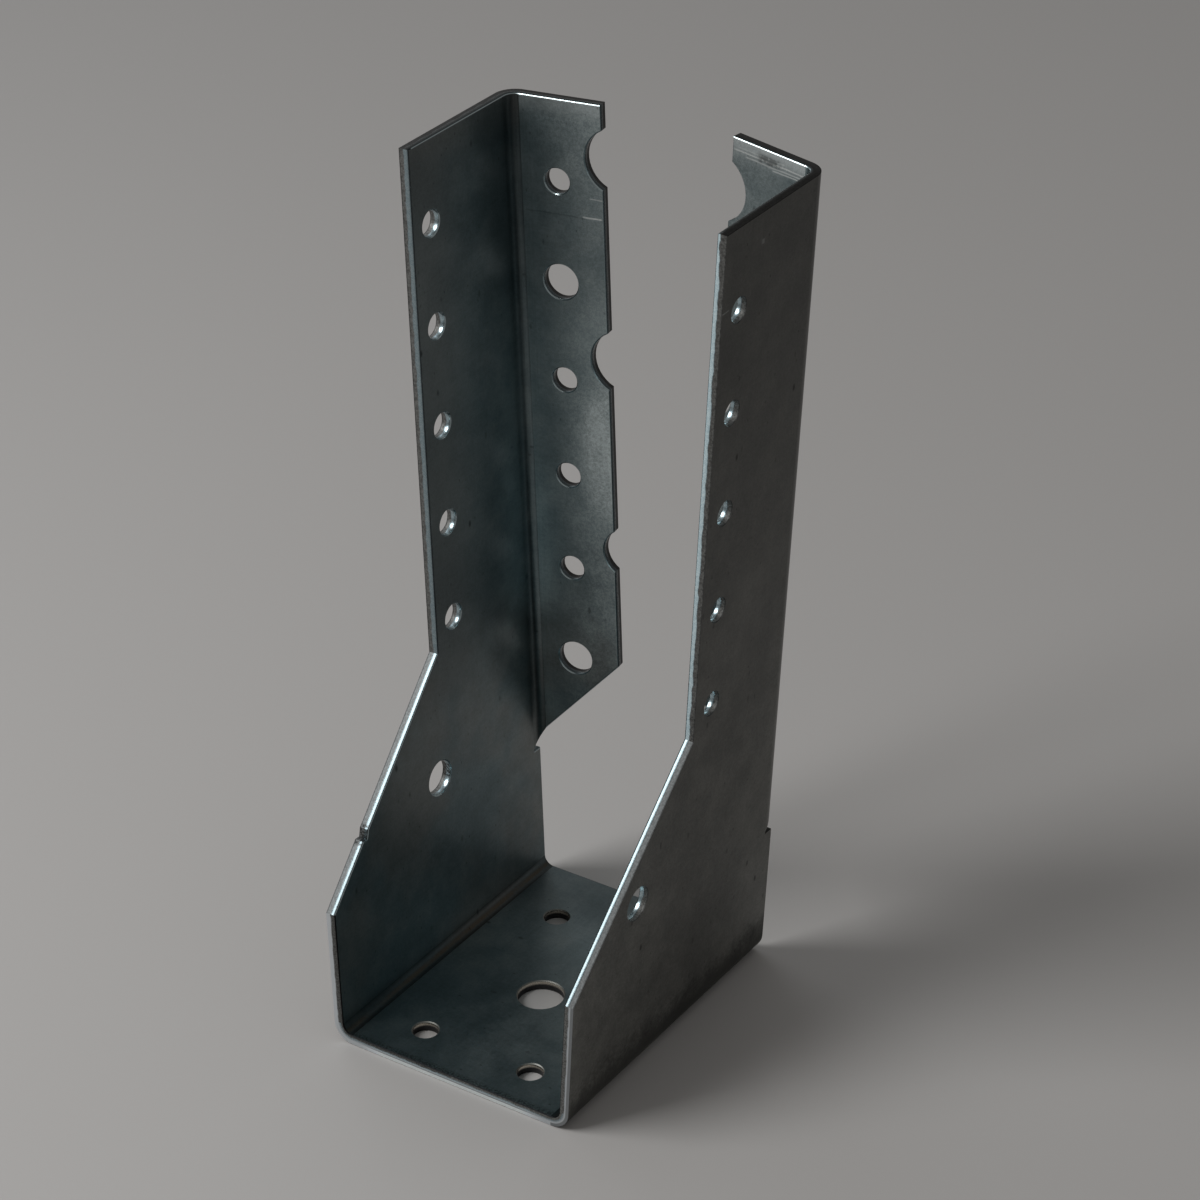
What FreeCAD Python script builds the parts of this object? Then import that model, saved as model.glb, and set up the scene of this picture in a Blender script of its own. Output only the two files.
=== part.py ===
import FreeCAD, Part
import Sketcher
import math
import os

# A face-fixed hanger for a 48 mm joist, folded from one piece of 2 mm galvanised steel sheet:
# a seat, two cheeks that stand on it, and a nailing flange folded inwards at the back of each cheek.
# X runs across the seat, Y to the wall side, Z up from the underside of the seat.
# Sizes along Y are measured from the front edge, and heights from the seat's upper face, up the cheek.
# The finished hanger is moved forward so that its origin is under the seat's middle hole.

SIZES = [
    ("sheet_thickness", 2),
    ("inner_width", 49),
    ("cheek_rise", 166),
    ("seat_depth", 67.5),
    ("flange_back", 69),
    ("fold_radius", 2),
    # the cheeks lean outwards and the flanges stay a little open, as the folds sprang back
    ("left_lean", 1.25),
    ("right_lean", 3.75),
    ("flange_opening", 8),
    # cheek outline: a low front corner, a slope, and a narrower strip above it
    ("strip_front", 36),
    ("slope_foot", 26.5),
    ("slope_top", 64.5),
    # flange outline: its width from the cheek's inner face, and its sloping lower edge
    ("flange_width", 18),
    ("flange_foot", 50),
    ("flange_foot_angle", 47),
    ("fold_step", 0.6),
    # holes
    ("nail_hole", 5),
    ("fixing_hole", 7),
    ("seat_hole", 9),
    ("row_drop", 16),
    ("row_pitch", 20),
    ("cheek_row", 41.5),
    ("flange_row", 8.8),
    ("fixing_height", 38),
    ("left_fixing", 34.5),
    ("right_fixing", 20),
    ("seat_row_front", 9),
    ("seat_row_length", 44),
    ("seat_row_width", 24),
    ("seat_hole_back", 30),
    # the bevelled lip of each punched hole, on the inner face
    ("punch_lip", 0.2),
    # round bites out of the free edge of each flange
    ("bite_drop", 10.7),
    ("bite_pitch", 40),
    ("bite_offset", 3),
    ("bite", 13),
    ("low_bite", 10.5),
    # the least metal between a hole in the flange and the flange's sloping lower edge
    ("foot_margin", 2),
    # the torn nick in the left cheek's slope
    ("nick_height", 38),
    ("nick_mouth", 2.4),
    ("nick_depth", 0.9),
    ("nick_tip", 0.4),
    # shearing rolled the inner face's outline over
    ("edge_lip", 0.3),
]

THICK = "Sizes.sheet_thickness"
RISE = "Sizes.cheek_rise"
OUTER_FOLD = "Sizes.fold_radius + Sizes.sheet_thickness"
# how far each flange fold's round reaches from the sharp corner, along the cheek and the flange
FOLD_REACH = "(Sizes.fold_radius * tan((90 - Sizes.flange_opening) * 0.5 deg))"
FOLD_START = f"(Sizes.flange_back - Sizes.sheet_thickness - {FOLD_REACH})"
# the flange's lower edge meets the fold at FOOT_HIGH, runs down round it and leaves it at FOOT_LOW
FOOT_SLOPE = "tan(Sizes.flange_foot_angle * 1 deg)"
FOOT_HIGH = f"(Sizes.flange_foot - (Sizes.flange_width - {FOLD_REACH}) * {FOOT_SLOPE})"
FOLD_TURN = "((90 - Sizes.flange_opening) / 360)"
FOOT_DROP = f"(2 * pi * (Sizes.fold_radius + {THICK} / 2) * {FOLD_TURN} * {FOOT_SLOPE})"
FOOT_LOW = f"({FOOT_HIGH} - {FOOT_DROP})"
# as many fixing holes, four pitches apart from the row's second place, as fit above the lower edge
FOOT_AT_ROW = f"(Sizes.flange_foot - (Sizes.flange_width - Sizes.flange_row) * {FOOT_SLOPE})"
LOWEST_FIXING = f"({FOOT_AT_ROW} + Sizes.fixing_hole / 2 + Sizes.foot_margin)"
FIXING_REACH = f"({RISE} - Sizes.row_drop - Sizes.row_pitch - {LOWEST_FIXING})"
FLANGE_FIXINGS = f"(1 + floor({FIXING_REACH} / (4 * Sizes.row_pitch)))"
# a cut this deep, centred on the inner face, passes right through the sheet
THROUGH = f"4 * {THICK}"
# every cut takes away more than this, and a row's holes differ by less, in cubic millimetres
LEAST_CUT = 0.1

doc = FreeCAD.newDocument("JoistHanger")
sizes = doc.addObject("Spreadsheet::Sheet", "Sizes")
for row, (alias, value) in enumerate(SIZES, start=1):
    sizes.set(f"A{row}", alias)
    sizes.set(f"B{row}", str(value))
    sizes.setAlias(f"B{row}", alias)
doc.recompute()

body = doc.addObject("PartDesign::Body", "Hanger")
body.Label = "joist_hanger"
doc.recompute()
# the volume that each punched hole took away, by the name of its feature
punched = {}


def origin_plane(role):
    return next(f for f in body.Origin.OriginFeatures if f.Role == role)


def number(expression):
    value = sizes.evalExpression(expression)
    return float(getattr(value, "Value", value))


def attach(obj, support, mode, base=("0", "0", "0"), axis=None, angle="0"):
    """Attach a frame or sketch, with an offset and a turn that follow the table."""
    obj.AttachmentSupport = [(support, "")]
    obj.MapMode = mode
    turn = FreeCAD.Rotation()
    if axis is not None:
        turn = FreeCAD.Rotation(axis, number(angle))
    start = FreeCAD.Vector(*[number(part) for part in base])
    obj.AttachmentOffset = FreeCAD.Placement(start, turn)
    for letter, part in zip("xyz", base):
        if part != "0":
            obj.setExpression(f".AttachmentOffset.Base.{letter}", part)
    if axis is not None:
        obj.setExpression(".AttachmentOffset.Rotation.Angle", f"({angle}) * 1 deg")


def new_sketch(name, support, mode="FlatFace", base=("0", "0", "0")):
    sketch = body.newObject("Sketcher::SketchObject", name)
    attach(sketch, support, mode, base)
    return sketch


def pin(sketch, geo, pos, x, y):
    """Hold a sketch point at the place that two expressions give."""
    for kind, axis, expression in (("DistanceX", -2, x), ("DistanceY", -1, y)):
        value = number(expression)
        if abs(value) < 1e-9:
            sketch.addConstraint(Sketcher.Constraint("PointOnObject", geo, pos, axis))
            continue
        ends = (-1, 1, geo, pos) if value > 0 else (geo, pos, -1, 1)
        index = sketch.addConstraint(Sketcher.Constraint(kind, *ends, abs(value)))
        sketch.setExpression(f"Constraints[{index}]", expression if value > 0 else f"-({expression})")


def trace(sketch, corners, arcs=None):
    """Draw a closed outline through the corners. An arc is given as start corner: (radius, turn),
    where turn is 1 if it runs counter-clockwise and -1 if it runs clockwise."""
    arcs = arcs or {}
    spots = [FreeCAD.Vector(number(x), number(y), 0) for x, y in corners]
    ends = []
    for i, spot in enumerate(spots):
        after = spots[(i + 1) % len(spots)]
        if i not in arcs:
            geo = sketch.addGeometry(Part.LineSegment(spot, after), False)
            ends.append((geo, 1, 2))
            continue
        radius, turn = arcs[i]
        size = number(radius)
        chord = after - spot
        reach = math.sqrt(size**2 - (chord.Length / 2) ** 2)
        across = FreeCAD.Vector(-chord.y, chord.x, 0).normalize()
        centre = (spot + after) * 0.5 + across * (reach * turn)
        first, last = (spot, after) if turn > 0 else (after, spot)
        angles = [math.atan2(p.y - centre.y, p.x - centre.x) for p in (first, last)]
        circle = Part.Circle(centre, FreeCAD.Vector(0, 0, 1), size)
        geo = sketch.addGeometry(Part.ArcOfCircle(circle, angles[0], angles[1]), False)
        ends.append((geo, 1, 2) if turn > 0 else (geo, 2, 1))
        index = sketch.addConstraint(Sketcher.Constraint("Radius", geo, size))
        sketch.setExpression(f"Constraints[{index}]", radius)
    for i, (geo, start, finish) in enumerate(ends):
        after_geo, after_start, _ = ends[(i + 1) % len(ends)]
        sketch.addConstraint(Sketcher.Constraint("Coincident", geo, finish, after_geo, after_start))
        pin(sketch, geo, start, *corners[i])


def pad(name, sketch, length, reverse=False):
    feature = body.newObject("PartDesign::Pad", name)
    feature.Profile = sketch
    feature.setExpression("Length", length)
    feature.Reversed = reverse
    sketch.Visibility = False
    doc.recompute()


def finish_cut(name, before):
    """Rebuild, and make sure that the cut took some of the sheet away."""
    doc.recompute()
    if body.Shape.Volume > before - LEAST_CUT:
        raise RuntimeError(f"{name} cuts nothing")


def pocket(name, sketch):
    """Cut the outline through the sheet, equally far to both sides of the sketch."""
    before = body.Shape.Volume
    feature = body.newObject("PartDesign::Pocket", name)
    feature.Profile = sketch
    feature.SideType = "Symmetric"
    feature.setExpression("Length", THROUGH)
    sketch.Visibility = False
    finish_cut(name, before)


def punch(name, diameter, support, mode, base, sheet_side):
    """Cut one punched hole as a turned groove: the lip is bevelled on the inner face, and the land
    runs straight to the outer face. sheet_side says which way the sheet lies: 1 or -1 along the
    sketch's horizontal axis, or 0 for downwards from a seat hole's centre."""
    before = body.Shape.Volume
    sketch = new_sketch(name + "Section", support, mode, base)
    hole = f"Sizes.{diameter} / 2"
    lip = "Sizes.punch_lip"
    section = [
        (f"-{THICK}", "0"),
        (f"-{THICK}", f"{hole} + {lip}"),
        ("0", f"{hole} + {lip}"),
        (lip, hole),
        (f"2 * {THICK}", hole),
        (f"2 * {THICK}", "0"),
    ]
    if sheet_side:
        corners = [(f"{sheet_side} * ({a})", r) for a, r in section]
    else:
        corners = [(r, f"-({a})") for a, r in section]
    trace(sketch, corners)
    groove = body.newObject("PartDesign::Groove", name)
    groove.Profile = sketch
    groove.ReferenceAxis = (sketch, ["H_Axis" if sheet_side else "V_Axis"])
    groove.Angle = 360
    sketch.Visibility = False
    finish_cut(name, before)
    punched[name] = before - body.Shape.Volume
    return groove


def repeat(name, groove, direction, count, pitch):
    """Repeat a hole downwards along its row, to the given count of holes, each of them whole."""
    before = body.Shape.Volume
    row = body.newObject("PartDesign::LinearPattern", name)
    row.Originals = [groove]
    row.Direction = (groove.Profile[0], [direction])
    row.Reversed = True
    row.Mode = "Spacing"
    row.setExpression("Offset", pitch)
    row.setExpression("Occurrences", count)
    body.Tip = row
    doc.recompute()
    copies = row.Occurrences - 1
    if abs(before - body.Shape.Volume - copies * punched[groove.Name]) > LEAST_CUT:
        raise RuntimeError(f"{name} does not cut {copies} whole copies")


def cheek_section(side, lean, rise):
    """The cross-section's corners at one cheek: from the seat up its inner face and down its outer."""
    half = "Sizes.inner_width / 2"
    sine = f"sin({lean} * 1 deg)"
    cosine = f"cos({lean} * 1 deg)"
    reach = f"(Sizes.fold_radius * tan((90 - {lean}) * 0.5 deg))"
    inner = [
        (f"{side} * ({half} - {reach})", THICK),
        (f"{side} * ({half} + {reach} * {sine})", f"{THICK} + {reach} * {cosine}"),
        (f"{side} * ({half} + {rise} * {sine})", f"{THICK} + {rise} * {cosine}"),
    ]
    across = f"{side} * {THICK} * {cosine}"
    down = f"{THICK} * {sine}"
    outer = [(f"{x} + {across}", f"{y} - {down}") for x, y in reversed(inner[1:])]
    return inner + outer + [(inner[0][0], "0")]


def channel(sketch, rise):
    """Draw the cross-section of the seat and both cheeks, with their folds and their lean."""
    right = cheek_section(1, "Sizes.right_lean", rise)
    left = cheek_section(-1, "Sizes.left_lean", rise)
    inner_fold = ("Sizes.fold_radius", 1)
    outer_fold = (OUTER_FOLD, -1)
    # round the right cheek, back along the underside, round the left cheek, and back along the top
    trace(sketch, right + left[::-1], {0: inner_fold, 4: outer_fold, 6: outer_fold, 10: inner_fold})


# the channel runs back to where the flange folds begin
section = new_sketch("ChannelSection", origin_plane("XZ_Plane"))
channel(section, RISE)
pad("Channel", section, FOLD_START, reverse=True)

for side, word in ((-1, "Left"), (1, "Right")):
    lean = f"Sizes.{word.lower()}_lean"
    # this frame stands on the sharp corner between the seat and the cheek's inner face, with
    # X across the sheet, Y to the back and Z up the leaning cheek
    cheek = body.newObject("PartDesign::CoordinateSystem", word + "CheekFrame")
    attach(
        cheek,
        origin_plane("XY_Plane"),
        "FlatFace",
        (f"{side} * Sizes.inner_width / 2", "0", THICK),
        FreeCAD.Vector(0, 1, 0),
        f"{side} * {lean}",
    )
    doc.recompute()

    # take the sheet away in front of the slope and the narrow strip
    front = new_sketch(word + "FrontOutline", cheek, "ObjectYZ")
    trace(
        front,
        [
            ("0", "Sizes.slope_foot"),
            ("Sizes.strip_front", "Sizes.slope_top"),
            ("Sizes.strip_front", f"{RISE} + {THICK}"),
            (f"-{THICK}", f"{RISE} + {THICK}"),
            (f"-{THICK}", "Sizes.slope_foot"),
        ],
    )
    pocket(word + "Front", front)

    # fold the flange inwards, from the low end of its fold to the top of the cheek
    inward = -side
    opening = "Sizes.flange_opening * 1 deg"
    face = f"(Sizes.flange_back - {THICK})"
    tangent = (f"{inward} * {FOLD_REACH} * cos({opening})", f"{face} + {FOLD_REACH} * sin({opening})")
    edge = (
        f"{inward} * Sizes.flange_width * cos({opening})",
        f"{face} + Sizes.flange_width * sin({opening})",
    )
    shift = (f"{inward} * {THICK} * sin({opening})", f"{THICK} * cos({opening})")
    fold = new_sketch(word + "FlangeSection", cheek, "ObjectXY", ("0", "0", FOOT_LOW))
    trace(
        fold,
        [
            ("0", FOLD_START),
            tangent,
            edge,
            (f"{edge[0]} - {shift[0]}", f"{edge[1]} + {shift[1]}"),
            (f"{tangent[0]} - {shift[0]}", f"{tangent[1]} + {shift[1]}"),
            (f"{side} * {THICK}", FOLD_START),
        ],
        {0: ("Sizes.fold_radius", side), 4: (OUTER_FOLD, -side)},
    )
    pad(word + "Flange", fold, f"{RISE} - {FOOT_LOW}")

    # this frame lies on the flange's inner face, with X from the cheek to the free edge and Z up
    flange = body.newObject("PartDesign::CoordinateSystem", word + "FlangeFrame")
    attach(
        flange,
        cheek,
        "ObjectXY",
        ("0", face, "0"),
        FreeCAD.Vector(0, 0, 1),
        "Sizes.flange_opening" if side < 0 else "180 - Sizes.flange_opening",
    )
    doc.recompute()

    # the flange's lower edge slopes down to the fold
    foot = new_sketch(word + "FootOutline", flange, "ObjectXZ")
    beyond = f"Sizes.flange_width + {THICK}"
    trace(
        foot,
        [
            (FOLD_REACH, FOOT_HIGH),
            (beyond, f"Sizes.flange_foot + {THICK} * {FOOT_SLOPE}"),
            (beyond, f"{FOOT_LOW} - {THICK}"),
            (FOLD_REACH, f"{FOOT_LOW} - {THICK}"),
        ],
    )
    pocket(word + "Foot", foot)

    # and the same straight edge of the blank winds down round the fold as a helix
    before = body.Shape.Volume
    wind = new_sketch(
        word + "FootWinding",
        flange,
        "ObjectYZ",
        (f"{side} * Sizes.fold_radius", "0", FOLD_REACH),
    )
    beyond = f"{THICK} / 4"
    near = f"{inward} * (Sizes.fold_radius - {beyond})"
    far = f"{inward} * (Sizes.fold_radius + {THICK} + {beyond})"
    trace(wind, [(near, FOOT_LOW), (far, FOOT_LOW), (far, FOOT_HIGH), (near, FOOT_HIGH)])
    helix = body.newObject("PartDesign::SubtractiveHelix", word + "FootHelix")
    helix.Profile = wind
    helix.ReferenceAxis = (wind, ["V_Axis"])
    helix.Mode = "height-turns-angle"
    helix.setExpression("Height", FOOT_DROP)
    helix.setExpression("Turns", FOLD_TURN)
    helix.Angle = 0
    helix.LeftHanded = side < 0
    helix.Reversed = True
    wind.Visibility = False
    finish_cut(helix.Name, before)

    # round bites punched out of the flange's free edge, the lowest one smaller
    def bite_place(k):
        height = f"{RISE} - Sizes.bite_drop - {k} * Sizes.bite_pitch"
        return ("0", height, "Sizes.flange_width + Sizes.bite_offset")

    bites = punch(word + "Bite", "bite", flange, "ObjectYZ", bite_place(0), inward)
    repeat(word + "Bites", bites, "V_Axis", "2", "Sizes.bite_pitch")
    punch(word + "LowBite", "low_bite", flange, "ObjectYZ", bite_place(2), inward)

    # the flange's row: nail holes, with wider fixing holes as the second and the sixth
    def flange_place(k):
        return ("0", f"{RISE} - Sizes.row_drop - {k} * Sizes.row_pitch", "Sizes.flange_row")

    punch(word + "FlangeTopNail", "nail_hole", flange, "ObjectYZ", flange_place(0), inward)
    nails = punch(word + "FlangeNail", "nail_hole", flange, "ObjectYZ", flange_place(2), inward)
    repeat(word + "FlangeNails", nails, "V_Axis", "3", "Sizes.row_pitch")
    bolts = punch(word + "FlangeFixing", "fixing_hole", flange, "ObjectYZ", flange_place(1), inward)
    repeat(word + "FlangeFixings", bolts, "V_Axis", FLANGE_FIXINGS, "4 * Sizes.row_pitch")

    # the cheek's row of nail holes, and its one wider hole under the slope
    row_top = f"{RISE} - Sizes.row_drop"
    nails = punch(word + "CheekNail", "nail_hole", cheek, "ObjectXY", ("0", "Sizes.cheek_row", row_top), side)
    repeat(word + "CheekNails", nails, "N_Axis", "5", "Sizes.row_pitch")
    place = ("0", f"Sizes.{word.lower()}_fixing", "Sizes.fixing_height")
    punch(word + "CheekFixing", "fixing_hole", cheek, "ObjectXY", place, side)

# behind the folds' start the seat runs on, with the low ends of the cheeks, to one straight back edge
tail = new_sketch("TailSection", origin_plane("XZ_Plane"), base=("0", "0", f"-{FOLD_START}"))
channel(tail, f"({FOOT_LOW} - Sizes.fold_step)")
pad("Tail", tail, f"Sizes.seat_depth - {FOLD_START}", reverse=True)

# the seat's four nail holes and its wider middle hole
corner = ("-Sizes.seat_row_width / 2", THICK, "-Sizes.seat_row_front")
groove = punch("SeatNail", "nail_hole", origin_plane("XZ_Plane"), "FlatFace", corner, 0)
before = body.Shape.Volume
grid = body.newObject("PartDesign::LinearPattern", "SeatNails")
grid.Originals = [groove]
grid.Direction = (groove.Profile[0], ["H_Axis"])
grid.setExpression("Length", "Sizes.seat_row_width")
grid.Occurrences = 2
grid.Direction2 = (groove.Profile[0], ["N_Axis"])
grid.Reversed2 = True
grid.setExpression("Length2", "Sizes.seat_row_length")
grid.Occurrences2 = 2
body.Tip = grid
finish_cut(grid.Name, before)
middle = ("0", THICK, "-Sizes.seat_hole_back")
punch("SeatHole", "seat_hole", origin_plane("XZ_Plane"), "FlatFace", middle, 0)

# a small torn nick in the slope of the left cheek
nick = new_sketch("NickOutline", doc.getObject("LeftCheekFrame"), "ObjectYZ")
slope_pitch = "((Sizes.slope_top - Sizes.slope_foot) / Sizes.strip_front)"
slope_cosine = "Sizes.strip_front / sqrt(Sizes.strip_front ^ 2 + (Sizes.slope_top - Sizes.slope_foot) ^ 2)"
slope_sine = f"({slope_cosine} * {slope_pitch})"
nick_back = f"((Sizes.nick_height - Sizes.slope_foot) / {slope_pitch})"


def nick_corner(along, inside):
    """A corner of the nick, measured along the slope and into the sheet."""
    return (
        f"{nick_back} + ({along}) * {slope_cosine} + ({inside}) * {slope_sine}",
        f"Sizes.nick_height + ({along}) * {slope_sine} - ({inside}) * {slope_cosine}",
    )


trace(
    nick,
    [
        nick_corner("Sizes.nick_mouth / 2", "0"),
        nick_corner("Sizes.nick_mouth / 2", "-Sizes.nick_depth"),
        nick_corner("-Sizes.nick_mouth / 2", "-Sizes.nick_depth"),
        nick_corner("-Sizes.nick_mouth / 2", "0"),
        nick_corner("-Sizes.nick_tip", "Sizes.nick_depth"),
    ],
)
pocket("Nick", nick)

# the inner skin: the seat's upper face, the cheeks' and flanges' inner faces, and the folds' hollows
skins = [(FreeCAD.Vector(0, 0, number(THICK)), FreeCAD.Vector(0, 0, 1))]
for frame_name, axis in (
    ("LeftCheekFrame", FreeCAD.Vector(1, 0, 0)),
    ("RightCheekFrame", FreeCAD.Vector(1, 0, 0)),
    ("LeftFlangeFrame", FreeCAD.Vector(0, 1, 0)),
    ("RightFlangeFrame", FreeCAD.Vector(0, 1, 0)),
):
    where = doc.getObject(frame_name).Placement
    skins.append((where.Base, where.Rotation.multVec(axis)))


def on_inner_skin(face):
    surface = face.Surface
    if isinstance(surface, Part.Cylinder):
        return abs(surface.Radius - number("Sizes.fold_radius")) < 1e-6
    if not isinstance(surface, Part.Plane):
        return False
    return any(
        surface.Axis.cross(normal).Length < 1e-5 and abs((surface.Position - point).dot(normal)) < 1e-4
        for point, normal in skins
    )


def rolled_edges(shape):
    """Name the edges where the inner skin ends at the blank's outline. The holes have their own
    lips, the winding edges stay sharp, and the edge of each fold's step is too short to roll."""
    names = []
    for i, edge in enumerate(shape.Edges, start=1):
        faces = shape.ancestorsOfType(edge, Part.Face)
        inner = [on_inner_skin(face) for face in faces]
        lip = any(isinstance(face.Surface, Part.Cone) for face in faces)
        plain = isinstance(edge.Curve, (Part.Line, Part.Circle)) and edge.Length > number(THICK) / 2
        if len(faces) == 2 and inner.count(True) == 1 and plain and not lip:
            names.append(f"Edge{i}")
    return names


before = body.Shape.Volume
cut = body.Tip
rolled = body.newObject("PartDesign::Fillet", "RolledOutline")
rolled.Base = (cut, rolled_edges(cut.Shape))
rolled.setExpression("Radius", "Sizes.edge_lip")
finish_cut(rolled.Name, before)

body.setExpression(".Placement.Base.y", "-Sizes.seat_hole_back")
doc.recompute()
failed = [o.Name for o in doc.Objects if "Invalid" in o.State or "Error" in o.State]
if failed:
    raise RuntimeError(f"failed: {failed}")
shape = body.Shape
if shape.isNull() or not shape.isValid() or len(shape.Solids) != 1:
    raise RuntimeError("the hanger is not one valid solid")
for sketch in doc.findObjects("Sketcher::SketchObject"):
    if sketch.solve() != 0:
        raise RuntimeError(f"{sketch.Name} does not solve")
print("volume", round(shape.Volume, 1), "box", shape.BoundBox)

os.makedirs("parts", exist_ok=True)
shape.exportStep(f"parts/{body.Label}.step")
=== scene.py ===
import math

import bpy
from mathutils import Matrix, Vector

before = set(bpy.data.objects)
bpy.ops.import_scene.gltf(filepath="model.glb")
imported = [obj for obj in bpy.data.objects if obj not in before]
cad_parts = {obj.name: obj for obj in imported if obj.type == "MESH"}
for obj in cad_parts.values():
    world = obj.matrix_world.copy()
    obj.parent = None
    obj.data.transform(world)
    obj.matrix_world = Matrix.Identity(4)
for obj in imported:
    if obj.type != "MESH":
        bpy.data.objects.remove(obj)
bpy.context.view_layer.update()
scene = bpy.context.scene

# The sheet's sizes in millimetres, in the row's frame: the seat's front edge lies at y = -SEAT_BACK.
# Places on a cheek are given back from that edge and up from the seat's upper face, places on a
# flange along from its cheek and up.
SHEET = 2.0
HALF_WIDTH = 24.5
SEAT_BACK = 30.0
SEAT_DEPTH = 67.5
CHEEK_TOP = 166.0
FLANGE_START = 67.0
FLANGE_FOOT = 28.2
FOLD_RADIUS = 2.0
LEFT_LEAN, RIGHT_LEAN = math.radians(1.25), math.radians(3.75)
OPENING = math.radians(8)
FOLD_REACH = FOLD_RADIUS * math.tan((math.pi / 2 - OPENING) / 2)
STRIP_FRONT, SLOPE_FOOT, SLOPE_TOP = 36.0, 26.5, 64.5
SLOPE_PITCH = math.atan2(SLOPE_TOP - SLOPE_FOOT, STRIP_FRONT)
NICK_HEIGHT = 38.0

# The zinc's colours, each pair from its darker to its paler patches
INNER_FACE = (0.190, 0.249, 0.265), (0.224, 0.276, 0.287)
OUTER_FACE = (0.128, 0.130, 0.123), (0.152, 0.153, 0.143)
# pale zinc patches, with a painted sheen on the flanges
PALE_ZINC_AND_SHEEN = (0.54, 0.61, 0.62)
# a painted sheen under the flanges' top edge
TOP_EDGE_SHEEN = (0.62, 0.68, 0.69)
BROWN_GREY = (0.215, 0.212, 0.200)
SOFT_BROWN = (0.235, 0.222, 0.205)
BROWN_LINE = (0.062, 0.050, 0.034)
SCRATCH = (0.62, 0.66, 0.66)

# The sheared edges' colours
BURNISHED = (0.25, 0.325, 0.358), (0.35, 0.425, 0.45)
TORN = (0.095, 0.096, 0.092), (0.24, 0.245, 0.24)
TORN_SLOPE = (0.17, 0.18, 0.183), (0.27, 0.29, 0.295)
LOW_EDGE = (0.26, 0.32, 0.35), (0.66, 0.70, 0.73)
SEAT_HOLE_WALL = (0.62, 0.57, 0.49), (0.05, 0.05, 0.052)
# the painted shade of a nick in the left slope's edge
NICK_SHADE = (0.03, 0.03, 0.03)
ROLLED_RIM = (0.42, 0.50, 0.52)
# nearly black painted shade on the left strip's rolled rim, and on the low edges' rims
LEFT_STRIP_RIM_SHADE = (0.025, 0.032, 0.036)
LOW_RIM_SHADE = (0.012, 0.013, 0.014)

PAPER = (0.405, 0.398, 0.392), (0.43, 0.424, 0.418)
FLOOR_HALF = 4.0
FLOOR_DROP = 0.0001

# The camera, as it stood for the photograph: place in metres, angles, and focal length in pixels
CAMERA_PLACE = (0.33659, -0.47565, 0.42786)
CAMERA_YAW, CAMERA_PITCH, CAMERA_ROLL = math.radians(34.07), math.radians(-30.18), math.radians(-0.81)
FOCAL_PIXELS, FRAME_PIXELS = 3753.47, 1200
SENSOR_WIDTH = 36.0
LAMP_TARGET = (0.0, 0.0, 0.08)


class Number:
    """The output of a shader node, with plain arithmetic."""

    def __init__(self, tree, socket):
        self.tree = tree
        self.socket = socket

    def __add__(self, other):
        return self.tree.math("ADD", self, other)

    def __radd__(self, other):
        return self.tree.math("ADD", other, self)

    def __sub__(self, other):
        return self.tree.math("SUBTRACT", self, other)

    def __rsub__(self, other):
        return self.tree.math("SUBTRACT", other, self)

    def __mul__(self, other):
        return self.tree.math("MULTIPLY", self, other)

    def __truediv__(self, other):
        return self.tree.math("DIVIDE", self, other)

    def __abs__(self):
        return self.tree.math("ABSOLUTE", self)

    def above(self, level):
        return self.tree.math("GREATER_THAN", self, level)

    def below(self, level):
        return self.tree.math("LESS_THAN", self, level)

    def ramp(self, low, high):
        """0 at low and 1 at high, smooth between them; low may be the larger one."""
        node = self.tree.node("ShaderNodeMapRange")
        node.interpolation_type = "SMOOTHSTEP"
        self.tree.put(node.inputs["Value"], self)
        if low < high:
            limits = (low, high, 0.0, 1.0)
        else:
            limits = (high, low, 1.0, 0.0)
        for name, value in zip(("From Min", "From Max", "To Min", "To Max"), limits):
            node.inputs[name].default_value = value
        return Number(self.tree, node.outputs["Result"])

    def near(self, centre, half, soft):
        """1 within half of centre, falling to 0 over soft."""
        return abs(self - centre).ramp(half + soft, half)


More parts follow.
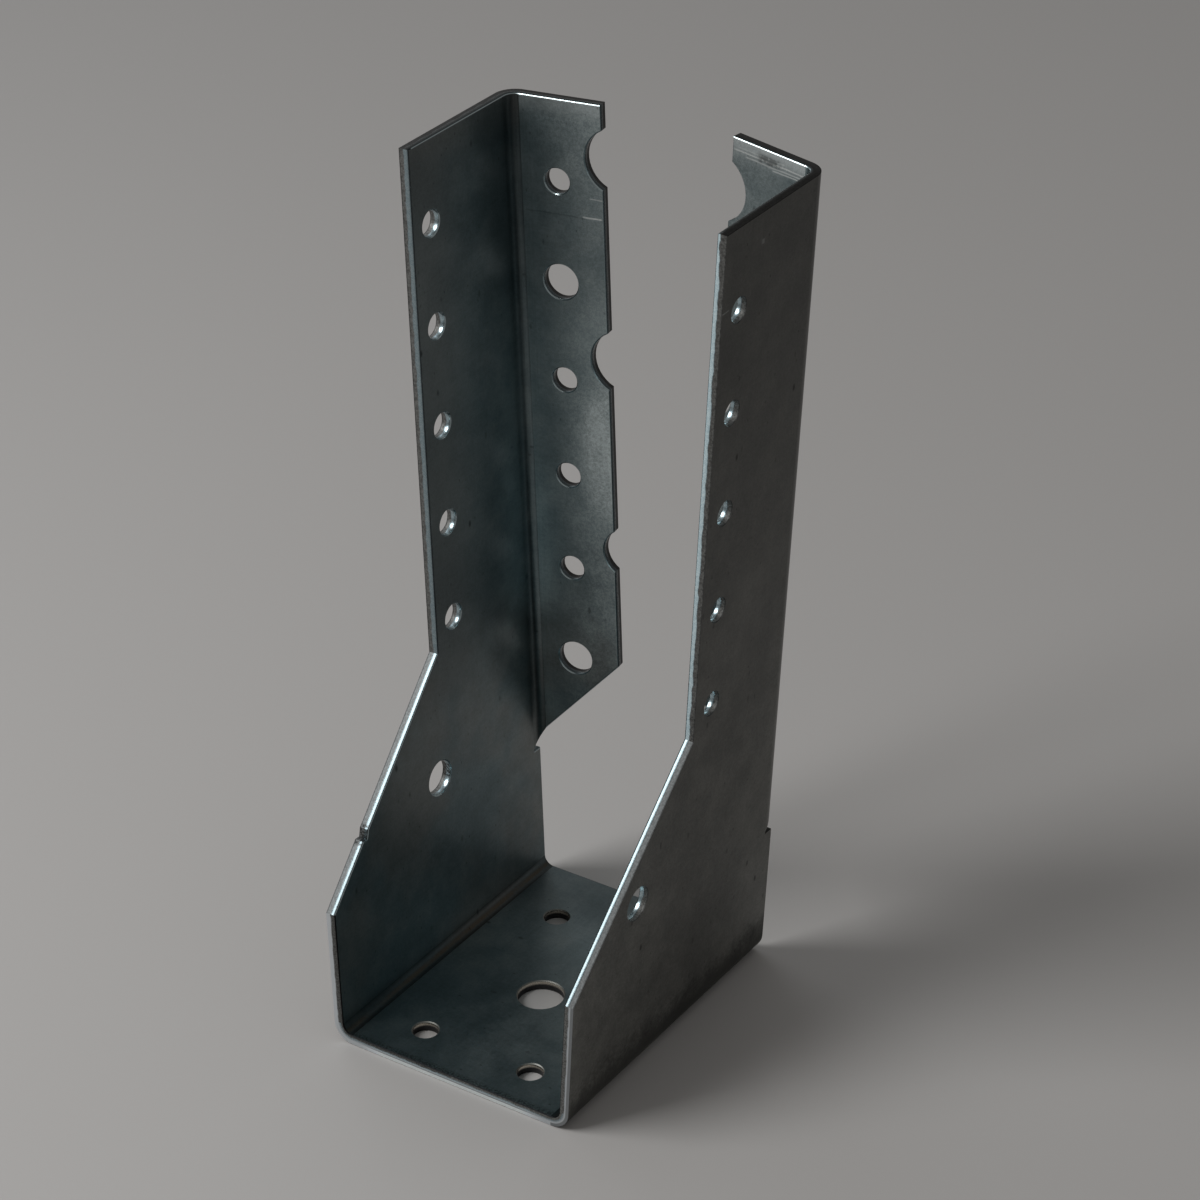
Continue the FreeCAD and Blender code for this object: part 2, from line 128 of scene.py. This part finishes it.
class Tree:
    """Writes one material's nodes."""

    def __init__(self, name):
        self.material = bpy.data.materials.new(name)
        self.material.use_nodes = True
        self.material.node_tree.nodes.clear()

    def node(self, kind):
        return self.material.node_tree.nodes.new(kind)

    def put(self, socket, value):
        if isinstance(value, Number):
            value = value.socket
        if isinstance(value, bpy.types.NodeSocket):
            self.material.node_tree.links.new(value, socket)
        else:
            socket.default_value = value

    def math(self, operation, *values):
        node = self.node("ShaderNodeMath")
        node.operation = operation
        for socket, value in zip(node.inputs, values):
            self.put(socket, value)
        return Number(self, node.outputs[0])

    def largest(self, value, *others):
        for other in others:
            value = self.math("MAXIMUM", value, other)
        return value

    def length(self, first, second):
        """The length of a vector in a plane, kept above 0 because it divides."""
        return self.math("SQRT", first * first + second * second) + 0.0001

    def parts(self, vector):
        node = self.node("ShaderNodeSeparateXYZ")
        self.put(node.inputs[0], vector)
        return [Number(self, output) for output in node.outputs]

    def vector(self, x, y, z):
        node = self.node("ShaderNodeCombineXYZ")
        for socket, value in zip(node.inputs, (x, y, z)):
            self.put(socket, value)
        return node.outputs[0]

    def scaled(self, vector, factor):
        node = self.node("ShaderNodeVectorMath")
        node.operation = "SCALE"
        self.put(node.inputs[0], vector)
        self.put(node.inputs["Scale"], factor)
        return node.outputs[0]

    def stretched(self, vector, x, y):
        node = self.node("ShaderNodeMapping")
        self.put(node.inputs["Vector"], vector)
        node.inputs["Scale"].default_value = (x, y, 1.0)
        return node.outputs[0]

    def mix(self, factor, low, high):
        node = self.node("ShaderNodeMix")
        self.put(node.inputs["Factor"], factor)
        self.put(node.inputs["A"], low)
        self.put(node.inputs["B"], high)
        return Number(self, node.outputs["Result"])

    def tint(self, factor, low, high):
        node = self.node("ShaderNodeMix")
        node.data_type = "RGBA"
        self.put(node.inputs["Factor"], factor)
        for name, value in (("A", low), ("B", high)):
            socket = next(s for s in node.inputs if s.name == name and s.type == "RGBA")
            self.put(socket, value if isinstance(value, bpy.types.NodeSocket) else (*value, 1.0))
        return next(s for s in node.outputs if s.type == "RGBA")

    def noise(self, vector, scale, detail, roughness):
        node = self.node("ShaderNodeTexNoise")
        self.put(node.inputs["Vector"], vector)
        node.inputs["Scale"].default_value = scale
        node.inputs["Detail"].default_value = detail
        node.inputs["Roughness"].default_value = roughness
        return Number(self, node.outputs["Fac"])

    def cells(self, vector, scale):
        """The distance to the nearest cell's centre, and a random number for each cell."""
        node = self.node("ShaderNodeTexVoronoi")
        self.put(node.inputs["Vector"], vector)
        node.inputs["Scale"].default_value = scale
        red = self.parts(node.outputs["Color"])[0]
        return Number(self, node.outputs["Distance"]), red

    def finish(self, shader):
        output = self.node("ShaderNodeOutputMaterial")
        self.put(output.inputs["Surface"], shader.outputs[0])
        return self.material


class Place:
    """Where the shaded point lies on the folded sheet, in millimetres.

    depth is 0 on the inner face and SHEET on the outer one. facing is -1 on the inner face, 1 on the
    outer one and 0 on a sheared edge or a hole's wall.
    """

    def __init__(self, tree):
        self.point = tree.scaled(tree.node("ShaderNodeTexCoord").outputs["Object"], 1000.0)
        x, y, z = tree.parts(self.point)
        normal = tree.node("ShaderNodeNewGeometry").outputs["Normal"]
        normal_x, normal_y, self.normal_z = tree.parts(normal)

        # the cheek's own directions: out through the sheet, back and up
        self.right = x.above(0.0)
        self.left = 1.0 - self.right
        side = self.right * 2.0 - 1.0
        cos_lean = tree.mix(self.right, math.cos(LEFT_LEAN), math.cos(RIGHT_LEAN))
        sin_lean = tree.mix(self.right, math.sin(LEFT_LEAN), math.sin(RIGHT_LEAN))
        across = abs(x) - HALF_WIDTH
        height = z - SHEET
        out = across * cos_lean - height * sin_lean
        self.up = across * sin_lean + height * cos_lean
        self.back = y + SEAT_BACK
        side_normal = side * normal_x
        out_normal = side_normal * cos_lean - self.normal_z * sin_lean

        # the flange, and the fold between it and the cheek
        cos_open, sin_open = math.cos(OPENING), math.sin(OPENING)
        self.along = (self.back - FLANGE_START) * sin_open - out * cos_open
        flange_depth = out * sin_open + (self.back - FLANGE_START) * cos_open
        flange_normal = out_normal * sin_open + normal_y * cos_open
        fold_out = out + FOLD_RADIUS
        self.fold_back = self.back - (FLANGE_START - FOLD_REACH)
        fold_far = tree.length(fold_out, self.fold_back)
        fold_normal = (out_normal * fold_out + normal_y * self.fold_back) / fold_far

        # the bend between the seat and the cheek
        reaches = [FOLD_RADIUS * math.tan((math.pi / 2 - lean) / 2) for lean in (LEFT_LEAN, RIGHT_LEAN)]
        self.bend_reach = tree.mix(self.right, *reaches)
        self.bend_out = across + self.bend_reach
        bend_up = height - FOLD_RADIUS
        bend_far = tree.length(self.bend_out, bend_up)
        bend_normal = (side_normal * self.bend_out + self.normal_z * bend_up) / bend_far

        self.high = self.up.above(FLANGE_FOOT)
        self.low = self.up.below(self.bend_reach)
        behind = self.back.above(FLANGE_START - 7.0)
        self.in_flange = self.high * self.along.above(FOLD_REACH) * behind
        self.in_fold = self.high * self.along.below(FOLD_REACH) * self.fold_back.above(0.0)
        self.in_bend = self.low * self.bend_out.above(0.0)
        self.in_seat = self.low * self.bend_out.below(0.0)
        self.depth, self.facing = out, out_normal
        for inside, depth, facing in (
                (self.in_fold, fold_far - FOLD_RADIUS, fold_normal),
                (self.in_flange, flange_depth, flange_normal),
                (self.in_bend, bend_far - FOLD_RADIUS, bend_normal),
                (self.in_seat, height * -1.0, self.normal_z * -1.0)):
            self.depth = tree.mix(inside, self.depth, depth)
            self.facing = tree.mix(inside, self.facing, facing)
        self.outer_face = self.facing.above(0.0)
        self.inner_face = 1.0 - self.outer_face
        self.flatness = abs(self.facing)
        self.edge = self.flatness.ramp(0.93, 0.45)
        self.rim = self.flatness.near(0.7, 0.12, 0.15)
        self.unrolled = tree.vector(
            self.back + self.in_flange * self.along, tree.mix(self.in_seat, self.up, across), side * 40.0)

        # which stretch of the cheek's front edge
        from_slope = (self.up - SLOPE_FOOT) * math.cos(SLOPE_PITCH) - self.back * math.sin(SLOPE_PITCH)
        on_slope = self.up.above(SLOPE_FOOT)
        self.slope = from_slope.near(0.0, 0.8, 0.6) * on_slope * self.up.below(SLOPE_TOP)
        self.strip_edge = self.back.below(STRIP_FRONT + 1.0) * self.up.above(SLOPE_TOP)
        self.low_edge = tree.largest(self.in_seat, self.in_bend, self.up.below(SLOPE_FOOT))


class Grain:
    """The zinc's patterns, which its colour, gloss and relief share."""

    def __init__(self, tree, at):
        self.clouds = tree.noise(at.point, 0.035, 3.0, 0.55)
        self.mottle = tree.noise(at.point, 0.16, 4.0, 0.65)
        self.wave = tree.noise(at.point, 0.45, 3.0, 0.6)
        self.spangle = tree.noise(at.point, 1.5, 3.0, 0.7)
        self.chatter = tree.noise(at.point, 2.6, 3.0, 0.7)
        self.fine = tree.noise(at.point, 4.5, 2.0, 0.6)
        self.rolled = tree.noise(tree.stretched(at.unrolled, 0.025, 1.6), 1.0, 4.0, 0.7)
        self.drawn = tree.noise(tree.stretched(at.unrolled, 1.8, 0.03), 1.0, 4.0, 0.7)
        self.patches = (self.mottle * 0.6 + self.clouds * 0.4).ramp(0.40, 0.64)
        self.grains = (self.spangle * 0.55 + self.fine * 0.45).ramp(0.36, 0.64)
        self.tone = (0.72 + self.clouds.ramp(0.3, 0.7) * 0.14 + self.mottle.ramp(0.3, 0.7) * 0.14
                     + (self.rolled - 0.5) * 0.22 + (self.drawn - 0.5) * 0.14
                     + self.grains * (0.2 + at.outer_face * 0.14))


class Dirt:
    """Specks, dashes, the speckled front of the seat and the dark foot of the outer faces."""

    def __init__(self, tree, at, grain):
        speck_cells = tree.stretched(at.unrolled, 1.0, 0.55)
        far, chance = tree.cells(speck_cells, 0.27)
        self.specks = far.ramp(0.15, 0.05) * chance.above(0.62)
        far, chance = tree.cells(speck_cells, 0.7)
        small_specks = far.ramp(0.16, 0.06) * chance.above(0.78)
        self.stains = self.specks * (0.35 + grain.clouds.ramp(0.4, 0.6) * 0.4) + small_specks * 0.45
        far, chance = tree.cells(tree.stretched(at.unrolled, 1.6, 0.5), 0.13)
        dashes = far.ramp(0.08, 0.03) * chance.above(0.4) * at.outer_face
        seat_front = at.in_seat * at.back.ramp(1.9, 0.5) * grain.chatter.ramp(0.42, 0.56)
        self.dark = tree.largest(self.stains * 0.75, dashes * 0.55, seat_front * 0.6)
        # darker and rougher towards the foot of the outer faces
        above_foot = at.up + grain.mottle * 9.0 + grain.spangle * 4.0
        self.dark_foot = at.outer_face * above_foot.ramp(15.5, 9.0) * (1.0 - at.in_seat)


class Marks:
    """Scratches, a groove and a stain, each at its place."""

    def __init__(self, tree, at, grain):
        left_flange = at.in_flange * at.inner_face * at.left
        right_flange = at.in_flange * at.inner_face * at.right
        right_cheek = at.outer_face * at.right * (1.0 - at.in_flange)
        level = at.up + (grain.mottle - 0.5) * 0.5
        # face, direction, centre, half length, height, half width, strength
        scratches = (
            (left_flange, at.along, 15.7, 1.6, 143.8, 0.1, 1.0),
            (left_flange, at.along, 16.7, 1.1, 147.5, 0.06, 0.6),
            (right_flange, at.along, 9.5, 7.6, 163.8, 0.09, 1.0),
            (right_flange, at.along, 8.0, 6.5, 163.1, 0.08, 0.8),
            (right_flange, at.along, 11.5, 5.0, 164.4, 0.06, 0.6),
            (right_flange, at.along, 5.5, 3.0, 162.6, 0.07, 0.8),
            (right_cheek, at.back, 48.0, 0.1, 160.4, 0.4, 0.2),
            (right_cheek, at.back, 36.4, 1.4, 151.3, 0.06, 0.3))
        lines = []
        for face, where, centre, half, height, width, strength in scratches:
            line = face * where.near(centre, half, 0.6) * level.near(height, width, 0.12) * strength
            lines.append(line * (0.45 + grain.spangle * 0.8))
        self.scratches = tree.largest(*lines)
        self.groove = left_flange * at.along.near(8.0, 5.0, 1.5) * level.near(143.5, 0.08, 0.15)
        stained = at.along.near(9.7, 1.6, 1.6) * at.up.near(164.0, 0.5, 0.7)
        self.stain = right_flange * stained * grain.spangle.ramp(0.3, 0.55)


def clean_zinc(tree, at, grain):
    """The two faces' colour: bluish inside, brownish outside, with pale patches and a painted sheen on the
    flanges, and painted light and shade by place.
    """
    inner = tree.tint(grain.patches, *INNER_FACE)
    # painted light: the outer faces are painted paler towards their foot and towards their front edge
    painted_foot_light = at.up.ramp(150.0, 15.0) * 0.72 + 0.61
    outer = tree.scaled(tree.tint(grain.patches, *OUTER_FACE), painted_foot_light + at.back.ramp(38.0, 12.0) * 0.26)
    face = tree.tint(at.outer_face, inner, outer)

    # painted sheen, partly the zinc's own pale patches: the inner flanges are painted paler towards their
    # free edge and their top
    free_edge_sheen = at.in_flange * (at.along + grain.clouds * 8.0 - 4.0).ramp(5.0, 16.0)
    duller = at.up.near(131.0, 12.0, 14.0)
    palest = at.up.near(96.0, 6.0, 12.0) * at.along.ramp(11.0, 15.0)
    pale = free_edge_sheen * (0.62 + grain.patches * 0.38) * (0.70 - duller * 0.34 + palest * 0.68)
    top_sheen = at.in_flange * at.up.ramp(150.0, 164.0) * at.along.ramp(2.0, 11.0) * 0.52
    pale = tree.largest(pale, top_sheen) * (0.45 + grain.grains * 0.55)
    face = tree.tint(pale * at.inner_face, face, PALE_ZINC_AND_SHEEN)

    # painted light on the inner flange's foot and beside its fold, and painted shade on the rear of the
    # seat between the cheeks
    near_fold = at.up.ramp(98.0, 76.0) * at.up.ramp(56.0, 66.0) * at.along.ramp(9.0, 3.0)
    flange_foot_light = at.in_flange * tree.largest(at.up.ramp(50.0, 36.0), near_fold)
    seat_rear_shade = at.in_seat * at.back.ramp(44.0, 62.0)
    face = tree.scaled(face, 1.0 + at.inner_face * (flange_foot_light * 0.5 - seat_rear_shade * 0.42))
    inner_flange = at.inner_face * at.in_flange
    # painted shade: the right flange is darker throughout, the left one around 142 mm up
    flange_shade = tree.mix(at.right, at.up.near(142.0, 8.0, 18.0) * 0.2, 0.24)
    face = tree.scaled(face, 1.0 - inner_flange * flange_shade)
    # painted sheen: a pale bluish band just under the flanges' top edge, stronger on the right
    sheen_under_top = at.up.ramp(CHEEK_TOP - 4.5, CHEEK_TOP - 0.2) * (0.6 + at.right * 0.25)
    return tree.tint(inner_flange * sheen_under_top, face, TOP_EDGE_SHEEN)


def left_cheek(tree, at, grain, face):
    """The left cheek's inner face: its strip gets painted shade at its front, at its top and high up by the
    fold, and painted light lower down by the fold; it is browner at its front and its top, and its lower
    half is a soft brownish grey."""
    strip = at.inner_face * at.left * (1.0 - at.in_flange) * at.up.ramp(45.0, 62.0)
    # painted light and shade across the strip
    fold_light_and_shade = at.back.ramp(54.0, 62.0) * (at.up.ramp(130.0, 75.0) * 0.6 - at.up.ramp(116.0, 145.0) * 0.3)
    from_front = at.back.ramp(38.0, 56.0) * 0.23
    near_top = at.up.ramp(148.0, 162.0) * 0.16
    face = tree.scaled(face, 1.0 + strip * (from_front - near_top - 0.22 + fold_light_and_shade))
    browner = tree.largest(at.back.ramp(54.0, 40.0) * 0.35, at.up.ramp(157.0, 165.5) * 0.5)
    face = tree.tint(strip * browner, face, BROWN_GREY)
    lower_half = (at.up + grain.mottle * 40.0).ramp(96.0, 60.0)
    lower = at.inner_face * at.left * (1.0 - at.in_seat) * lower_half
    return tree.tint(lower * grain.clouds.ramp(0.38, 0.6) * 0.55, face, SOFT_BROWN)


def folds(tree, at, grain, face):
    """The brown line in the seat's bend, painted shade in that bend and in the left flange's fold, painted
    light on the flange beside that fold, and the streaks that the press leaves beside the flange's fold.
    """
    # painted shade in the seat's bend, deepest in its crease
    crease_shade = tree.largest(at.bend_out * -1.0, at.up - at.bend_reach).ramp(3.2, -1.5) * at.inner_face
    inner_bend = at.in_bend * at.inner_face
    shade = inner_bend * (0.4 + at.bend_out.ramp(2.0, 1.5) * 0.26)
    face = tree.scaled(face, 1.0 - crease_shade * 0.08 - shade)
    brown = inner_bend * at.bend_out.near(1.2, 0.15, 0.3) * grain.mottle.ramp(0.3, 0.6)
    face = tree.tint(brown * 0.7, face, BROWN_LINE)
    # painted shade in the left flange's fold and painted light on the flange beside it; the drawn streaks
    # are the zinc's own
    beside = (at.fold_back + at.along * at.in_flange).near(2.5, 2.5, 4.0) * at.high * at.inner_face
    turning = at.in_fold * at.fold_back.ramp(0.6, 1.3)
    left_fold_light_and_shade = (at.fold_back.ramp(1.4, 2.0) * 0.14 - turning * 0.6) * at.left
    return tree.scaled(face, 1.0 + beside * (left_fold_light_and_shade - grain.drawn.ramp(0.4, 0.65) * 0.14))


def upper_cut(tree, at, grain, torn):
    """A sheared edge: a bright burnished band from the inner face, then a grey torn one."""
    # painted light: the right strip's burnished band is painted brighter than the left strip's; on the
    # slopes it is darker
    gain = tree.mix(at.strip_edge * at.right, tree.mix(at.strip_edge, 1.15, 0.85), 2.3)
    burnished = tree.tint(grain.chatter.ramp(0.35, 0.7), *BURNISHED)
    burnished = tree.scaled(burnished, tree.mix(at.slope, gain, 0.5))
    coarse = grain.chatter.ramp(0.3, 0.7)
    torn_colour = tree.tint(at.slope, tree.tint(coarse, *TORN), tree.tint(coarse, *TORN_SLOPE))
    cut = tree.tint(torn, burnished, torn_colour)
    seam = torn * (1.0 - torn) * 4.0 * at.right
    # painted shadow of the burr: a dark line along the cut's outer side
    burr_shadow = at.depth.ramp(SHEET - 0.28, SHEET - 0.1)
    cut = tree.scaled(cut, 1.0 - tree.largest(seam * 0.5, burr_shadow * 0.5))
    # painted shade: the cut is darker on the flanges and on the top edges; it is darker too at the flange's
    # shoulder
    top = at.up.above(CHEEK_TOP - 1.0) * at.normal_z.above(0.5)
    shoulder = (at.up - FLANGE_FOOT).near(0.0, 3.0, 0.5) * at.back.above(FLANGE_START - 3.0)
    return tree.scaled(cut, 1.0 - tree.largest(at.in_flange * 0.8, top * 0.86, shoulder * 0.75))


def lower_cut(tree, at, grain):
    """The edges under the slopes: the torn band lies on the inner side, and a pale one outside it."""
    upright = (1.0 - at.in_seat) * (1.0 - at.in_bend)
    torn = at.depth + (grain.wave - 0.5) * 0.7 - upright * (0.45 - at.right * 0.08)
    along_seat = at.low * at.bend_out.ramp(-0.5, -7.0)
    line = tree.largest(along_seat * at.depth.near(1.15, 0.06, 0.14),
                        at.right * (1.0 - at.in_seat) * at.depth.ramp(1.25, 1.45))
    pale = tree.tint(at.depth.ramp(0.7, 1.3), *LOW_EDGE)
    pale = tree.scaled(pale, (1.0 - line * 0.55) * (1.0 + along_seat * 0.42))
    dark = tree.scaled(tree.tint(grain.chatter.ramp(0.3, 0.7), *TORN), 0.65 + at.right * 0.4)
    return tree.tint(torn.ramp(0.75, 0.5), pale, dark)


def rims(tree, at, in_hole, colour):
    """The rolled inner rims: bright on the upper edges, and nearly black painted shade on the left strip
    and on the low edges.
    """
    rim_colour = tree.tint(at.strip_edge * at.left, ROLLED_RIM, LEFT_STRIP_RIM_SHADE)
    colour = tree.tint(at.rim * at.inner_face * (1.0 - at.low_edge) * 0.8, colour, rim_colour)
    # painted shade: nearly black where the low edges' faces turn into their rims
    turning = at.flatness.ramp(0.992, 0.95) * at.flatness.ramp(0.3, 0.45)
    dark = turning * at.inner_face * at.low_edge * (1.0 - in_hole * 0.5)
    return tree.tint(dark, colour, LOW_RIM_SHADE)


def zinc():
    """The sheet's zinc: its two faces, its sheared edges and the walls of its punched holes."""
    tree = Tree("galvanised_zinc")
    at = Place(tree)
    grain = Grain(tree, at)
    dirt = Dirt(tree, at, grain)
    marks = Marks(tree, at, grain)

    face = clean_zinc(tree, at, grain)
    face = left_cheek(tree, at, grain, face)
    face = folds(tree, at, grain, face)
    dark_foot_tone = dirt.dark_foot * (0.42 + grain.fine * 0.3)
    face = tree.scaled(face, grain.tone * (1.0 - dirt.dark) * (1.0 - dark_foot_tone))
    face = tree.tint(marks.scratches, face, SCRATCH)
    face = tree.scaled(face, 1.0 - marks.groove * 0.2 - marks.stain * 0.6)

    narrower = tree.mix(at.slope, at.right * (0.08 + at.up.ramp(154.0, 165.0) * 0.4), 0.1)
    ragged = (grain.wave - 0.5) * tree.mix(at.slope, 0.8, 0.2)
    torn = (at.depth + ragged + narrower).ramp(0.95, 1.2)
    cut = tree.tint(at.low_edge, upper_cut(tree, at, grain, torn), lower_cut(tree, at, grain))
    in_hole = at.in_seat * at.back.above(1.2) * at.back.below(SEAT_DEPTH - 1.5)
    cut = tree.tint(in_hole, cut, tree.tint(at.depth.ramp(0.5, 1.05), *SEAT_HOLE_WALL))
    # painted shade: a nick in the left slope's edge, drawn as a dark patch on the cut
    nick = at.left * (at.up - NICK_HEIGHT).near(0.0, 1.3, 0.4) * at.back.above(6.0)
    cut = tree.tint(nick * grain.chatter.ramp(0.42, 0.56) * 0.9, cut, NICK_SHADE)
    colour = rims(tree, at, in_hole, tree.tint(at.edge, face, cut))

    gloss = 0.36 + (grain.mottle - 0.5) * 0.16 + (grain.spangle - 0.5) * 0.14 + (grain.rolled - 0.5) * 0.08
    gloss = gloss + dirt.stains * 0.2 + dirt.dark_foot * 0.18 - marks.scratches * 0.1
    gloss = tree.mix(at.edge, gloss, tree.mix(torn, 0.27, 0.5) + (grain.chatter - 0.5) * 0.12)
    gloss = tree.mix(at.rim * 0.8, gloss, tree.mix(at.low_edge, 0.24, 0.6))

    # heights in millimetres: a cut's crown lies over its burnished band, and falls to its two faces
    relief = grain.mottle * 0.012 + grain.spangle * 0.004 + grain.fine * 0.0012
    relief = relief + grain.rolled * 0.003 + grain.clouds * 0.05
    relief = relief - marks.groove * 0.004 - marks.scratches * 0.006 - dirt.specks * 0.01
    crown = at.depth - 0.65
    flatter = tree.largest(at.depth - 1.15, 0.0)
    cut_relief = (flatter * flatter - crown * crown) * 0.24 + torn * -0.01
    cut_relief = cut_relief + grain.chatter * tree.mix(torn, 0.003, 0.022) + grain.wave * 0.008
    bump = tree.node("ShaderNodeBump")
    bump.inputs["Strength"].default_value = 1.0
    bump.inputs["Distance"].default_value = 0.001
    tree.put(bump.inputs["Height"], tree.mix(at.edge, relief, cut_relief))

    shader = tree.node("ShaderNodeBsdfPrincipled")
    shader.inputs["Metallic"].default_value = 1.0
    tree.put(shader.inputs["Base Color"], colour)
    tree.put(shader.inputs["Roughness"], gloss)
    tree.put(shader.inputs["Normal"], bump.outputs[0])
    return tree.finish(shader)


def paper():
    """The floor: plain pale grey with the faintest unevenness."""
    tree = Tree("floor_paper")
    place = tree.node("ShaderNodeTexCoord").outputs["Object"]
    shader = tree.node("ShaderNodeBsdfPrincipled")
    tree.put(shader.inputs["Base Color"], tree.tint(tree.noise(place, 2.0, 2.0, 0.5), *PAPER))
    tree.put(shader.inputs["Roughness"], 0.62 + (tree.noise(place, 900.0, 2.0, 0.5) - 0.5) * 0.1)
    return tree.finish(shader)


def lay_floor():
    mesh = bpy.data.meshes.new("floor")
    corners = [(x * FLOOR_HALF, y * FLOOR_HALF, 0.0) for x, y in ((-1, -1), (1, -1), (1, 1), (-1, 1))]
    mesh.from_pydata(corners, [], [(0, 1, 2, 3)])
    mesh.materials.append(paper())
    floor = bpy.data.objects.new("floor", mesh)
    floor.location.z = -FLOOR_DROP
    scene.collection.objects.link(floor)


def place_camera():
    look = Vector((-math.sin(CAMERA_YAW) * math.cos(CAMERA_PITCH),
                   math.cos(CAMERA_YAW) * math.cos(CAMERA_PITCH), math.sin(CAMERA_PITCH)))
    level = Vector((math.cos(CAMERA_YAW), math.sin(CAMERA_YAW), 0.0))
    above = level.cross(look)
    rightward = math.cos(CAMERA_ROLL) * level + math.sin(CAMERA_ROLL) * above
    upward = -math.sin(CAMERA_ROLL) * level + math.cos(CAMERA_ROLL) * above
    turn = Matrix((rightward, upward, -look)).transposed()
    camera = bpy.data.objects.new("camera", bpy.data.cameras.new("camera"))
    camera.matrix_world = Matrix.Translation(CAMERA_PLACE) @ turn.to_4x4()
    camera.data.sensor_width = SENSOR_WIDTH
    camera.data.lens = SENSOR_WIDTH * FOCAL_PIXELS / FRAME_PIXELS
    camera.data.clip_start = 0.01
    scene.collection.objects.link(camera)
    scene.camera = camera


def lamp(name, direction, distance, size, radiance, colour):
    """A square soft light that looks at the middle of the object, from that direction."""
    data = bpy.data.lights.new(name, "AREA")
    data.shape = "SQUARE"
    data.size = size
    data.energy = radiance * math.pi * size * size
    data.color = colour
    light = bpy.data.objects.new(name, data)
    toward = Vector(direction).normalized()
    light.location = Vector(LAMP_TARGET) + toward * distance
    light.rotation_mode = "QUATERNION"
    light.rotation_quaternion = toward.to_track_quat("Z", "Y")
    scene.collection.objects.link(light)


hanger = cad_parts["joist_hanger"]
hanger.material_slots[0].material = zinc()
lay_floor()
place_camera()
lamp("window", (-0.50, -0.52, 0.70), 0.8, 0.42, 8.5, (1.0, 0.99, 0.98))
lamp("back_fill", (-0.85, 0.45, 0.5), 1.8, 1.0, 0.8, (0.92, 0.96, 1.0))

world = bpy.data.worlds.new("studio")
world.use_nodes = True
world.node_tree.nodes["Background"].inputs["Color"].default_value = (1.0, 0.975, 0.95, 1.0)
world.node_tree.nodes["Background"].inputs["Strength"].default_value = 0.27
scene.world = world
scene.view_settings.view_transform = "Standard"
